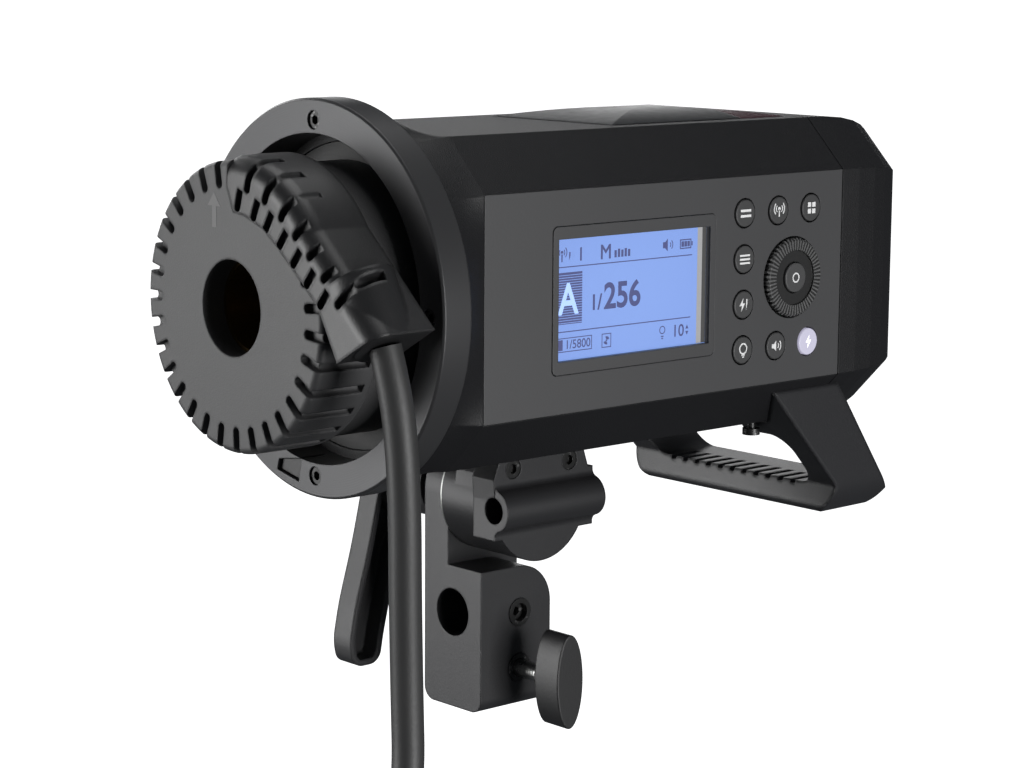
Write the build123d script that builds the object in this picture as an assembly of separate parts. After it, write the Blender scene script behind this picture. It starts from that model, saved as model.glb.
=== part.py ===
from build123d import *
import math
import os

# A studio monolight head on its tilting stand bracket, with the plug of a remote-head
# extension lead seated in the lamp opening. Millimetres, +Z up, lamp opening towards -Y,
# control panel towards +X. The origin is the centre of the stand socket's mouth.

# ---- Driving dimensions ---------------------------------------------------------------
# Stand block
block_width = 29.0
block_front_y = -15.6
block_rear_y = 15.5
block_step_z = 48.5
block_rear_radius = 14.0
block_corner_radius = 4.5
ear_thickness = 12.0
socket_radius = 8.1
socket_depth = 20.0
side_socket_z = 32.6
side_socket_depth = 25.5
insert_radius = 4.8
insert_bore_radius = 3.1
insert_length = 6.0
clamp_height = 13.5
screw_y = 1.6
clamp_thread_radius = 3.0
clamp_pitch = 1.25
knob_half_height = 16.0
knob_half_width = 5.8
knob_face_x = 40.0
knob_thickness = 11.0

# Tilt joint
pivot_y = 1.0
pivot_z = 72.5
ear_radius = 16.6
axle_radius = 5.0
axle_head_radius = 9.0
axle_head_thickness = 5.0
running_gap = 0.05
washer_radius = 20.0
washer_thickness = 0.8
hub_radius = 20.2
hub_width = 16.5
holder_face_x = 25.5
umbrella_x = 25.0
umbrella_z = 71.7
umbrella_start_y = -19.4
umbrella_wall_radius = 7.0
umbrella_bore_radius = 4.4
umbrella_length = 43.7
umbrella_fillet = 2.4
bracket_base_thickness = 2.0
bracket_rear_reach = 29.0

# Lock lever
lever_boss_radius = 13.5
lever_inner_x = -41.5
lever_outer_x = -51.0
lever_wall = 2.2

# Head casing
head_axis_z = 143.0
flange_front_y = -73.4
flange_radius = 63.5
flange_opening_radius = 52.5
flange_depth = 10.7
flange_screw_circle = 56.6
seam_gap = 0.6
casing_half_width = 54.4
casing_half_height = 52.6
casing_chamfer = 17.0
casing_wall = 3.2
flare_end = 23.8
cap_seam = 187.0
head_length = 220.0
socket_bore_radius = 49.5

# Control panel, measured from the flange's front face and the lamp axis
panel_thickness = 1.4
display_start = 52.0
display_end = 125.0
display_low = -23.2
display_high = 24.2
screen_start = 54.6
screen_end = 122.4
screen_low = -18.9
screen_high = 20.0
key_radius = 4.6
key_well_radius = 5.1
key_travel = 0.8
key_columns = (138.7, 155.0, 171.1)
key_rows = (23.3, 7.9, -7.4, -22.75)
dial_centre = (162.5, 0.1)
dial_outer_radius = 13.5
dial_inner_radius = 5.4
dial_ridges = 40
set_radius = 5.1

# Roof receiver
dome_start = 100.0
dome_end = 184.0
dome_half_width = 30.0
dome_height = 3.6
receiver_length = 22.0

# Extension-lead plug
plug_front = -32.0
plug_drum_radius = 45.5
plug_drum_length = 24.0
plug_hole_radius = 15.1
plug_neck_radius = 43.5
plug_notches = 31
notch_width = 3.0
notch_reach = 7.0
cable_radius = 5.0

# Strain relief of the plug, as (across, above) places from the lamp axis
boot_seam = [(-1.9, 37.5), (1.3, 29.9), (7.2, 29.2), (16.3, 26.1), (23.9, 20.9), (30.8, 15.4),
             (37.0, 10.3), (43.2, 5.2), (52.5, -11.0)]
boot_rim = [(70.0, -1.0), (38.5, 27.0), (-1.0, 47.0)]
boot_radius = 47.0
boot_rear = -9.0
boot_rounding = 6.5
inner_slots = [(3.6, 31.5), (11.8, 29.2), (18.2, 26.2), (24.9, 21.6), (31.6, 16.6), (38.2, 11.2),
               (44.7, 5.6)]
outer_slots = [(8.6, 37.4), (17.6, 34.6), (25.8, 30.0), (32.6, 25.0), (39.4, 19.6), (46.2, 13.6),
               (53.0, 6.6)]
slot_directions = [(0.28, 0.96), (0.42, 0.91), (0.53, 0.85), (0.62, 0.78), (0.65, 0.76), (0.65, 0.76),
                   (0.65, 0.76)]

# Cord: a 10 mm rubber lead, hanging free from the boot and put away in a tied round coil.
# Its places are (across, behind the ring, above the lamp axis).
cord_route = [(61.4, -21.0, -6.0), (64.6, -20.2, -17.0), (66.6, -19.0, -33.0), (67.0, -18.0, -55.0),
              (66.0, -17.0, -82.0), (65.6, -16.0, -112.0), (67.0, -16.4, -136.0), (71.0, -23.0, -152.0),
              (74.5, -38.0, -164.0), (75.0, -58.0, -180.5)]
tail_route = [(65.0, -75.0, -226.0), (65.0, -75.6, -239.0), (65.0, -75.0, -253.0), (65.0, -73.6, -268.0)]
coil_centre = (65.0, -15.0, -226.0)
coil_inner_radius = 44.5
coil_outer_radius = 65.5
coil_half_width = 15.5
connector_length = 46.0

# Inside the casing
can_radius = 17.0
can_length = 78.0
board_thickness = 1.6
fan_size = 40.0
battery_half_width = 35.6
battery_low = -33.0
battery_high = 29.6
battery_length = 68.0
slide_gap = 0.3

# Rear handle
handle_half_width = 50.5
handle_leg = 10.0
handle_grip_depth = 11.0

# ---- Values worked out from the driving ones ------------------------------------------
half_block = block_width / 2
ear_inner_x = ear_thickness - half_block
hub_start_x = ear_inner_x + running_gap + washer_thickness
hub_end_x = hub_start_x + hub_width
casing_bottom_z = head_axis_z - casing_half_height
side_face_z = casing_half_height - casing_chamfer
top_face_x = casing_half_width - casing_chamfer
panel_seat_x = casing_half_width - panel_thickness
inner_wall_x = casing_half_width - casing_wall
fit_gap = 0.2


def behind(distance):
    """Y of a plane that lies this far behind the mount ring's front face."""
    return flange_front_y + distance


def block(x, y, z):
    """A box between pairs of coordinates."""
    size = [high - low for low, high in (x, y, z)]
    centre = [(high + low) / 2 for low, high in (x, y, z)]
    return Pos(*centre) * Box(*size)


def rod_x(radius, start, end, y, z):
    return Pos((start + end) / 2, y, z) * Rot(0, 90, 0) * Cylinder(radius, abs(end - start))


def rod_y(radius, start, end, x, z):
    return Pos(x, (start + end) / 2, z) * Rot(90, 0, 0) * Cylinder(radius, abs(end - start))


def rod_z(radius, start, end, x, y):
    return Pos(x, y, (start + end) / 2) * Cylinder(radius, abs(end - start))


def side_profile(points, start, end):
    """A (y, z) outline extruded along X."""
    face = Plane.YZ.offset(start) * make_face(Polyline(*points, close=True))
    return extrude(face, end - start)


def front_profile(points, start, end):
    """An (x, z) outline extruded along Y."""
    face = Plane.XZ.offset(-start) * make_face(Polyline(*points, close=True))
    return extrude(face, start - end)


def bend_radii(spots, closed=False):
    """The largest arc that each corner of a line of straight runs leaves room for."""
    count = len(spots)
    radii = []
    for index in range(0 if closed else 1, count if closed else count - 1):
        before = spots[index] - spots[index - 1]
        after = spots[(index + 1) % count] - spots[index]
        turn = math.radians(before.get_angle(after))
        radii.append(0.45 * min(before.length, after.length) / math.tan(turn / 2))
    return radii


def around_lamp_axis(shape, count, first=0.0):
    """Copies of a shape at even angles round the lamp axis."""
    turn = Axis((0, 0, head_axis_z), (0, 1, 0))
    return [shape.rotate(turn, first + 360 * step / count) for step in range(count)]


def hex_socket_screw(radius, depth, direction, seat, shank_radius, shank_length):
    """A cap screw: head with a hexagon socket at its seat, shank going on along direction."""
    plane = Plane(origin=seat, z_dir=direction)
    head = extrude(plane * Circle(radius), depth)
    key = extrude(plane * RegularPolygon(radius * 0.55, 6), depth * 0.6)
    shank = extrude(plane.offset(depth) * Circle(shank_radius), shank_length)
    return head - key + shank


def octagon(inset):
    """The casing's cross-section, moved in evenly by a wall thickness."""
    wide = casing_half_width - inset
    tall = casing_half_height - inset
    cut = casing_chamfer - inset * (2 - math.sqrt(2))
    corners = [(wide, cut - tall), (wide, tall - cut), (wide - cut, tall), (cut - wide, tall)]
    corners += [(-wide, tall - cut), (-wide, cut - tall), (cut - wide, -tall), (wide - cut, -tall)]
    return [(x, z + head_axis_z) for x, z in corners]


def octagon_wire(inset, distance):
    return Wire.make_polygon([Vector(x, behind(distance), z) for x, z in octagon(inset)])


def round_wire(radius, distance):
    """A circle cut into arcs that end where the octagon's corners point."""
    angles = [math.atan2(z - head_axis_z, x) for x, z in octagon(0)]
    arcs = []
    for index, angle in enumerate(angles):
        following = angles[(index + 1) % len(angles)]
        if following < angle:
            following += 2 * math.pi
        spots = [Vector(radius * math.cos(a), behind(distance), head_axis_z + radius * math.sin(a))
                 for a in (angle, (angle + following) / 2, following)]
        arcs.append(ThreePointArc(*spots))
    return Wire(arcs)


# ---- Stand block ----------------------------------------------------------------------
def stand_block():
    outline = [(block_front_y, 0), (block_rear_y, 0), (block_rear_y, block_step_z),
               (block_front_y, block_step_z)]
    body = side_profile(outline, -half_block, half_block)
    rear_edges = body.edges().filter_by(Axis.X).group_by(Axis.Z)[-1].sort_by(Axis.Y)
    body = fillet(rear_edges[-1], block_rear_radius)
    ear_round = rod_x(ear_radius, -half_block, ear_inner_x, pivot_y, pivot_z)
    ear_post = block((-half_block, ear_inner_x), (block_front_y, block_rear_y), (20, pivot_z))
    keep = block((-half_block, ear_inner_x), (block_front_y, block_rear_y), (0, 2 * pivot_z))
    body = body + (ear_round & keep) + ear_post
    bottom_edges = body.edges().filter_by(Axis.Y).group_by(Axis.Z)[0]
    body = fillet(bottom_edges, block_corner_radius)
    body -= rod_z(socket_radius, -1, socket_depth, 0, 0)
    body -= rod_y(socket_radius, block_front_y - 1, block_front_y + side_socket_depth, 0, side_socket_z)
    for height in (side_socket_z, clamp_height):
        body -= rod_x(insert_radius, half_block - insert_length, half_block + 1, screw_y, height)
        body -= rod_x(insert_bore_radius, 0, half_block, screw_y, height)
    body -= rod_x(axle_radius + running_gap, -half_block - 1, ear_inner_x + 1, pivot_y, pivot_z)
    return body


def threaded_inserts():
    made = []
    for height in (side_socket_z, clamp_height):
        ring = rod_x(insert_radius, half_block - insert_length, half_block + 0.4, screw_y, height)
        ring -= rod_x(insert_bore_radius, 0, half_block + 1, screw_y, height)
        made.append(ring)
    return Compound(children=made)


def socket_set_screw():
    tip = socket_radius + 0.2
    end = half_block - 2.0
    body = rod_x(insert_bore_radius - running_gap, tip, end, screw_y, side_socket_z)
    plane = Plane(origin=(end, screw_y, side_socket_z), z_dir=(-1, 0, 0))
    return body - extrude(plane * RegularPolygon(1.7, 6), 2.5)


def clamp_pad():
    start = socket_radius + 0.1
    return rod_x(2.6, start, start + 1.8, screw_y, clamp_height)


def clamp_screw():
    start = socket_radius + 0.1 + 1.8
    end = knob_face_x - knob_thickness + 5.0
    return rod_x(clamp_thread_radius, start, end, screw_y, clamp_height)


def clamp_knob():
    """An oval wing on a short hub, upright in this position of the screw."""
    start = knob_face_x - knob_thickness
    plane = Plane(origin=(start, screw_y, clamp_height), x_dir=(0, 1, 0), z_dir=(1, 0, 0))
    knob = extrude(plane * Ellipse(knob_half_width, knob_half_height), knob_thickness)
    knob = fillet(knob.faces().sort_by(Axis.X)[-1].edges(), 0.5)
    hub = rod_x(4.6, start - 2.0, start, screw_y, clamp_height)
    bore = rod_x(clamp_thread_radius, start - 2, start + 5.0, screw_y, clamp_height)
    return knob + hub - bore


# ---- Tilt joint -----------------------------------------------------------------------
def tilt_axle():
    head_start = hub_end_x - axle_head_thickness - 0.4
    shank = rod_x(axle_radius, -half_block - 19.0, head_start, pivot_y, pivot_z)
    head = rod_x(axle_head_radius, head_start, head_start + axle_head_thickness, pivot_y, pivot_z)
    return shank + head


def friction_washer():
    """A steel washer, cut flat on top so that the bracket keeps it from turning."""
    start = hub_start_x - washer_thickness
    ring = rod_x(washer_radius, start, hub_start_x, pivot_y, pivot_z)
    ring -= rod_x(axle_radius + running_gap, start - 1, hub_start_x + 1, pivot_y, pivot_z)
    return ring & below(casing_bottom_z - fit_gap)


def below(height):
    return block((-100, 100), (-100, 100), (0, height))


def bracket_outline():
    """The (y, z) outline of the bracket's upright web, from the pivot up to the casing."""
    front = pivot_y - hub_radius
    rear = pivot_y + hub_radius
    top = casing_bottom_z
    return [(front, pivot_z), (front + 1.3, pivot_z + 10), (front - 1, top),
            (pivot_y + bracket_rear_reach, top), (rear + 5.4, top - 3.4), (rear + 2.4, top - 6.4),
            (rear + 1.3, pivot_z + 8.2), (rear, pivot_z)]


def tilt_bracket():
    hub = rod_x(hub_radius, hub_start_x, hub_end_x, pivot_y, pivot_z)
    web = side_profile(bracket_outline(), hub_start_x + 6.0, hub_end_x)
    base_y = (pivot_y - hub_radius - 5, pivot_y + bracket_rear_reach)
    base = block((hub_start_x, holder_face_x), base_y,
                 (casing_bottom_z - bracket_base_thickness, casing_bottom_z))
    body = (hub & below(casing_bottom_z)) + web + base
    pocket_start = hub_end_x - axle_head_thickness - 0.6
    body -= rod_x(axle_head_radius + 0.4, pocket_start, hub_end_x + 1, pivot_y, pivot_z)
    body -= rod_x(axle_radius + running_gap, hub_start_x - 1, hub_end_x, pivot_y, pivot_z)
    for spot in bracket_screw_spots():
        body -= rod_x(1.6, hub_end_x - 8.5, hub_end_x + 1, *spot)
    return body


def bracket_screw_spots():
    return [(pivot_y - 12.4, pivot_z + 12.3), (pivot_y + 12.6, pivot_z + 12.3)]


def plate_outline():
    """The (y, z) outline of the holder's plate above the pivot."""
    front = pivot_y - hub_radius
    rear = pivot_y + hub_radius
    top = casing_bottom_z
    return [(front, pivot_z), (front - 0.8, pivot_z + 9.3), (front + 2.6, top), (rear - 2.0, top),
            (rear + 1.3, pivot_z + 8.2), (rear, pivot_z)]


def umbrella_holder():
    """A plate screwed to the bracket, with a bulge along it that holds the umbrella's shaft."""
    start = hub_end_x
    low_disc = rod_x(hub_radius, start, holder_face_x, pivot_y, pivot_z)
    plate = side_profile(plate_outline(), start, holder_face_x)
    end_y = umbrella_start_y + umbrella_length
    section = Pos(umbrella_x, umbrella_z) * Circle(umbrella_wall_radius)
    section += Pos((start + holder_face_x) / 2, umbrella_z) * Rectangle(holder_face_x - start, 20.0)
    reach = umbrella_wall_radius + 1
    corners = [corner for corner in section.vertices() if abs(corner.Y - umbrella_z) < reach]
    section = fillet(corners, umbrella_fillet)
    bulge = extrude(Plane(origin=(0, umbrella_start_y, 0), x_dir=(1, 0, 0), z_dir=(0, -1, 0)) * section,
                    -umbrella_length)
    body = (low_disc + plate + bulge) & below(casing_bottom_z - bracket_base_thickness)
    body -= rod_y(umbrella_bore_radius, umbrella_start_y - 1, end_y - 4, umbrella_x, umbrella_z)
    for spot in bracket_screw_spots():
        body -= rod_x(3.3, holder_face_x - 3.0, holder_face_x + 1, *spot)
        body -= rod_x(1.6, start - 1, holder_face_x, *spot)
    return body


def bracket_screws():
    made = []
    for y, z in bracket_screw_spots():
        seat = (holder_face_x - 0.2, y, z)
        made.append(hex_socket_screw(3.2, 2.7, (-1, 0, 0), seat, 1.5, holder_face_x - hub_end_x + 4))
    return Compound(children=made)


# ---- Lock lever -----------------------------------------------------------------------
def lever_arm(shrink, start, end):
    """The curved arm's (y, z) shape, hanging from the pivot and slanting forwards."""
    outline = [(-12.2, 6.5), (-15.6, -8.0), (-19.4, -24.5), (-25.4, -45.0), (-27.8, -58.0),
               (-26.0, -66.2), (-14.6, -66.2), (-13.0, -56.5), (-9.5, -42.0), (-6.0, -27.0),
               (0.5, -17.0), (7.0, -11.5)]
    spots = [Vector(y, z) for y, z in outline]
    shape = make_face(FilletPolyline(*spots, radius=bend_radii(spots, True), close=True))
    if shrink:
        shape = offset(shape, -shrink)
    face = Plane.YZ.offset(start) * Pos(pivot_y, pivot_z) * shape
    return extrude(face, end - start)


def lock_lever():
    arm = lever_arm(0, lever_outer_x, lever_inner_x)
    boss_end = -half_block - 0.2
    boss = rod_x(lever_boss_radius, lever_outer_x, boss_end - 6, pivot_y, pivot_z)
    collar = rod_x(10.5, boss_end - 6, boss_end, pivot_y, pivot_z)
    body = arm + boss + collar
    channel = lever_arm(lever_wall, lever_outer_x + lever_wall, lever_inner_x)
    body -= channel - rod_x(lever_boss_radius + 1.5, lever_outer_x, 0, pivot_y, pivot_z)
    axle_end = -half_block - 19.0
    body -= rod_x(axle_radius, axle_end, 0, pivot_y, pivot_z)
    body -= rod_x(3.1, lever_outer_x, axle_end, pivot_y, pivot_z)
    body -= rod_x(5.4, lever_outer_x - 1, lever_outer_x + 4.5, pivot_y, pivot_z)
    return body


def lever_screw():
    seat = (lever_outer_x + 0.3, pivot_y, pivot_z)
    length = -half_block - 19.0 - lever_outer_x - 4.3
    return hex_socket_screw(5.2, 4.0, (1, 0, 0), seat, 3.0, length)


# ---- Casing ---------------------------------------------------------------------------
def casing_prism(inset, start, end):
    return front_profile(octagon(inset), behind(start), behind(end))


def main_shell():
    front = flange_depth + seam_gap
    flare = Solid.make_loft([round_wire(flange_radius - 0.7, front), octagon_wire(0, flare_end)], True)
    body = flare + casing_prism(0, flare_end, cap_seam)
    body -= casing_prism(casing_wall, flare_end - 1.0, cap_seam + 1)
    body -= rod_y(socket_bore_radius, behind(0), behind(flare_end), 0, head_axis_z)
    body -= rod_y(spigot_radius() + fit_gap, behind(0), behind(spigot_end() + 0.1), 0, head_axis_z)
    body -= panel_block(fit_gap / 2, 10)
    body -= side_window(display_start - 1, display_end + 1, display_low - 1.5, display_high + 1.5)
    body -= side_window(key_columns[0] - 8, key_columns[-1] + 8, key_rows[-1] - 7, key_rows[0] + 7)
    return body


def spigot_radius():
    return flange_radius - 7.0


def spigot_end():
    return flange_depth + 3.3


def side_window(start, end, low, high):
    """A block that opens the +X wall between two distances and two heights."""
    return block((inner_wall_x - 1, casing_half_width + 1), (behind(start), behind(end)),
                 (head_axis_z + low, head_axis_z + high))


def panel_block(margin, proud):
    return block((panel_seat_x - margin, casing_half_width + proud),
                 (behind(flare_end - margin), behind(cap_seam + margin)),
                 (head_axis_z - side_face_z - margin, head_axis_z + side_face_z + margin))


def rear_cap():
    stations = [(cap_seam + 0.4, 0.0), (196.0, 0.0), (205.0, 0.7), (212.0, 2.0), (217.0, 3.7),
                (head_length, 5.4)]
    rings = [octagon_wire(inset, distance) for distance, inset in stations]
    body = Solid.make_loft(rings, True)
    inner = [octagon_wire(inset + casing_wall, distance) for distance, inset in stations[:4]]
    body -= Solid.make_loft(inner, True)
    side = 2.2
    low = battery_low - slide_gap
    high = battery_high + slide_gap
    wide = battery_half_width + slide_gap
    bay_front = head_length - battery_length - 2.5
    body += block((-wide - side, wide + side), (behind(bay_front), behind(head_length - 0.5)),
                  (head_axis_z + low - side, head_axis_z + high + side))
    body -= block((-wide, wide), (behind(bay_front + 2.0), behind(head_length + 1)),
                  (head_axis_z + low, head_axis_z + high))
    for x in contact_places():
        body -= block((x - 2.2, x + 2.2), (behind(bay_front - 1), behind(bay_front + 3)),
                      (head_axis_z - 8, head_axis_z + 8))
    return body


def contact_places():
    return (-18.0, -6.0, 6.0, 18.0)


def battery_pack():
    front = head_length - battery_length
    body = block((-battery_half_width, battery_half_width), (behind(front), behind(head_length + 1.2)),
                 (head_axis_z + battery_low, head_axis_z + battery_high))
    rear_edges = body.faces().sort_by(Axis.Y)[-1].edges()
    body = fillet(rear_edges, 1.0)
    for x in contact_places():
        body -= block((x - 1.6, x + 1.6), (behind(front - 1), behind(front + 6)),
                      (head_axis_z - 7, head_axis_z + 7))
    for step in range(5):
        height = head_axis_z + battery_low + 8 + 4.5 * step
        body -= block((-26, 26), (behind(head_length + 0.2), behind(head_length + 2)),
                      (height, height + 2.0))
    body -= latch_pocket()
    return body


def latch_pocket():
    return block((-12.3, 12.3), (behind(head_length - 7), behind(head_length + 2)),
                 (head_axis_z + battery_high - 16.0, head_axis_z + battery_high - 5.0))


def battery_latch():
    low = head_axis_z + battery_high - 15.8
    body = block((-12.0, 12.0), (behind(head_length - 4.5), behind(head_length + 1.6)), (low, low + 7.6))
    edges = body.faces().sort_by(Axis.Y)[-1].edges()
    body = fillet(edges, 0.8)
    for step in range(3):
        groove = low + 1.5 + 2.0 * step
        body -= block((-9, 9), (behind(head_length + 1.1), behind(head_length + 3)), (groove, groove + 0.9))
    return body


def battery_contacts():
    front = head_length - battery_length
    rear = front + 5.0
    plate_rear = front - 2.7
    made = [block((-26, 26), (behind(plate_rear - 3), behind(plate_rear)),
                  (head_axis_z - 14, head_axis_z + 14))]
    for x in contact_places():
        made.append(block((x - 0.5, x + 0.5), (behind(plate_rear), behind(rear)),
                          (head_axis_z - 5, head_axis_z + 5)))
    return Compound(children=made)


# ---- Mount ring -----------------------------------------------------------------------
def ring_screw_angles():
    return [0, 90, 180, 270]


def flange_ring():
    ring = rod_y(flange_radius, behind(0), behind(flange_depth), 0, head_axis_z)
    ring = chamfer(ring.faces().sort_by(Axis.Y)[0].edges(), 0.7)
    ring += rod_y(spigot_radius(), behind(flange_depth), behind(spigot_end()), 0, head_axis_z)
    ring -= rod_y(flange_opening_radius, behind(-1), behind(spigot_end() + 1), 0, head_axis_z)
    seat = rod_y(3.0, behind(-1), behind(3.4), 0, head_axis_z + flange_screw_circle)
    hole = rod_y(1.6, behind(3), behind(flange_depth - 1), 0, head_axis_z + flange_screw_circle)
    for shape in around_lamp_axis(seat, 4) + around_lamp_axis(hole, 4):
        ring -= shape
    return ring - lock_notch(0.15, -1, flange_depth - 0.5)


def lock_notch(margin, start, end):
    """The four-sided slot near the foot of the ring, where the lock pin shows."""
    points = [(-19.9, -57.2), (-8.7, -59.6), (-7.2, -52.0), (-19.0, -53.8)]
    face = make_face(Polyline(*[(x, z + head_axis_z) for x, z in points], close=True))
    if margin:
        face = offset(face, margin)
    return extrude(Plane.XZ.offset(-behind(start)) * face, start - end)


def mount_lock_pin():
    return lock_notch(-0.15, 1.4, 6.0)


def flange_screws():
    seat = (0, behind(0.7), head_axis_z + flange_screw_circle)
    screw = hex_socket_screw(2.85, 2.6, (0, 1, 0), seat, 1.5, 6.0)
    return Compound(children=around_lamp_axis(screw, 4))


def lamp_socket():
    rear = behind(flare_end + 2)
    front = behind(spigot_end() + 0.6)
    body = rod_y(socket_bore_radius - fit_gap, front, rear, 0, head_axis_z)
    body -= rod_y(plug_neck_radius + running_gap, front - 1, behind(18.5), 0, head_axis_z)
    pin = rod_y(2.1, behind(18), rear + 1, 0, head_axis_z + 24)
    for hole in around_lamp_axis(pin, 6):
        body -= hole
    return body


def socket_contacts():
    rear = behind(flare_end + 2)
    tube = rod_y(2.1, rear - 1.5, rear + 5, 0, head_axis_z + 24)
    return Compound(children=around_lamp_axis(tube, 6))


# ---- Control panel --------------------------------------------------------------------
def key_spots():
    """Distance behind the ring and height above the axis of each key, in reading order."""
    top = [(column, key_rows[0]) for column in key_columns]
    left = [(key_columns[0], row) for row in key_rows[1:3]]
    bottom = [(column, key_rows[-1]) for column in key_columns]
    return top + left + bottom


def control_panel():
    body = panel_block(0, 0)
    opening = block((0, casing_half_width + 1), (behind(display_start), behind(display_end)),
                    (head_axis_z + display_low, head_axis_z + display_high))
    body -= fillet(opening.edges().filter_by(Axis.X), 2.0)
    for distance, row in key_spots():
        body -= rod_x(key_well_radius, 0, casing_half_width + 1, behind(distance), head_axis_z + row)
    distance, row = dial_centre
    body -= rod_x(dial_outer_radius + 0.5, 0, casing_half_width + 1, behind(distance), head_axis_z + row)
    return body


def display_bezel():
    body = block((inner_wall_x - 0.8, casing_half_width + 0.2),
                 (behind(display_start + fit_gap), behind(display_end - fit_gap)),
                 (head_axis_z + display_low + fit_gap, head_axis_z + display_high - fit_gap))
    body = fillet(body.edges().filter_by(Axis.X), 1.9)
    hole = block((0, casing_half_width + 1), (behind(screen_start), behind(screen_end)),
                 (head_axis_z + screen_low, head_axis_z + screen_high))
    return body - hole


def display_window():
    edge = 0.05
    return block((casing_half_width - 1.6, casing_half_width - 0.6),
                 (behind(screen_start + edge), behind(screen_end - edge)),
                 (head_axis_z + screen_low + edge, head_axis_z + screen_high - edge))


def lcd_module():
    edge = 0.05
    body = block((inner_wall_x - 0.8, casing_half_width - 1.7),
                 (behind(screen_start + edge), behind(screen_end - edge)),
                 (head_axis_z + screen_low + edge, head_axis_z + screen_high - edge))
    back = block((inner_wall_x - 2.8, inner_wall_x - 0.8), (behind(display_start), behind(display_end)),
                 (head_axis_z + display_low, head_axis_z + display_high))
    return body + back


def keypad_mat():
    rear_face = inner_wall_x - 2.8
    body = block((rear_face, rear_face + 1.6), (behind(key_columns[0] - 7.5), behind(key_columns[-1] + 7.5)),
                 (head_axis_z + key_rows[-1] - 6.5, head_axis_z + key_rows[0] + 6.5))
    distance, row = dial_centre
    body -= rod_x(dial_outer_radius + 0.6, 0, 60, behind(distance), head_axis_z + row)
    return body


def control_board():
    face = inner_wall_x - 2.8
    return block((face - board_thickness, face), (behind(display_start - 4), behind(cap_seam - 4)),
                 (head_axis_z - 32, head_axis_z + 32))


def key(distance, row):
    rear_face = inner_wall_x - 2.8 + 1.6 + key_travel + 0.1
    y = behind(distance)
    z = head_axis_z + row
    cap = rod_x(key_radius, rear_face, casing_half_width + 0.5, y, z)
    return fillet(cap.edges().filter_by(GeomType.CIRCLE).sort_by(Axis.X)[-1], 0.5)


def dial_encoder():
    distance, row = dial_centre
    face = inner_wall_x - 2.8
    y = behind(distance)
    z = head_axis_z + row
    base = rod_x(12.0, face, face + 2.2, y, z)
    post = rod_x(dial_inner_radius + 1.6, face + 2.2, face + 4.4, y, z)
    return base + post - rod_x(2.0, face + 1.2, face + 5, y, z)


def dial_ring():
    distance, row = dial_centre
    y = behind(distance)
    z = head_axis_z + row
    start = inner_wall_x - 2.8 + 2.3
    top = casing_half_width + 1.7
    body = rod_x(dial_outer_radius, start, top, y, z)
    body = chamfer(body.edges().filter_by(GeomType.CIRCLE).sort_by(Axis.X)[-1], 0.9)
    body -= rod_x(9.3, top - 0.7, top + 1, y, z)
    ridge = rod_x(0.42, start - 1, top + 1, y, z + dial_outer_radius)
    axis = Axis((0, y, z), (1, 0, 0))
    for step in range(dial_ridges):
        body -= ridge.rotate(axis, 360 * step / dial_ridges)
    post_bore = dial_inner_radius + 1.6 + running_gap
    body -= rod_x(post_bore, start - 1, start + 2.3, y, z)
    return body - rod_x(dial_inner_radius, start - 1, top + 1, y, z)


def set_button():
    distance, row = dial_centre
    y = behind(distance)
    z = head_axis_z + row
    rear_face = inner_wall_x - 2.8 + 4.4 + key_travel + 0.1
    cap = rod_x(set_radius, rear_face, casing_half_width + 1.9, y, z)
    return fillet(cap.edges().filter_by(GeomType.CIRCLE).sort_by(Axis.X)[-1], 0.5)


# ---- Roof receiver --------------------------------------------------------------------
def dome_shape():
    """The crowned lens on the roof: two wide arcs, one across and one along."""
    across = (dome_half_width ** 2 + dome_height ** 2) / (2 * dome_height)
    half = (dome_end - dome_start) / 2
    along = (half ** 2 + dome_height ** 2) / (2 * dome_height)
    roof = head_axis_z + casing_half_height
    middle = behind((dome_start + dome_end) / 2)
    wide = rod_y(across, behind(dome_start), behind(dome_end), 0, roof + dome_height - across)
    long = rod_x(along, -dome_half_width, dome_half_width, middle, roof + dome_height - along)
    above = block((-dome_half_width, dome_half_width), (behind(dome_start), behind(dome_end)),
                  (roof, roof + 20))
    return wide & long & above


def receiver_split():
    return behind(dome_end - receiver_length)


def receiver_dome():
    return dome_shape() - block((-60, 60), (receiver_split(), behind(200)), (0, 300))


def receiver_window():
    return dome_shape() - block((-60, 60), (behind(0), receiver_split()), (0, 300))


# ---- Inside the casing ----------------------------------------------------------------
def can_places():
    return [(-31.0, -27.0), (5.0, -27.0), (-31.0, 9.0)]


def capacitors():
    made = []
    for x, z in can_places():
        made.append(rod_y(can_radius, behind(58), behind(58 + can_length), x, head_axis_z + z))
    return Compound(children=made)


def capacitor_clamp():
    floor = head_axis_z - casing_half_height + casing_wall
    side = inner_wall_x - 0.2
    outline = [(-top_face_x + 2, floor), (23.5, floor), (23.5, floor + 38), (-12, floor + 38),
               (-12, head_axis_z + 27.5), (-side, head_axis_z + 27.5), (-side, floor + 16)]
    body = front_profile(outline, behind(86), behind(92))
    for x, z in can_places():
        body -= rod_y(can_radius + running_gap, behind(80), behind(100), x, head_axis_z + z)
    return body


def main_board():
    height = head_axis_z + 33.0
    return block((-inner_wall_x + 0.8, 44.0), (behind(42), behind(146)), (height, height + board_thickness))


def heat_sink():
    top = head_axis_z + 33.0
    body = block((3, 39), (behind(62), behind(112)), (top - 4, top))
    for step in range(7):
        x = 3 + 5.6 * step
        body += block((x, x + 2.4), (behind(62), behind(112)), (top - 26, top - 3))
    return body


def fan_place():
    return (21.0, 116.0, head_axis_z + 33.0 - fan_size / 2)


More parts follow.
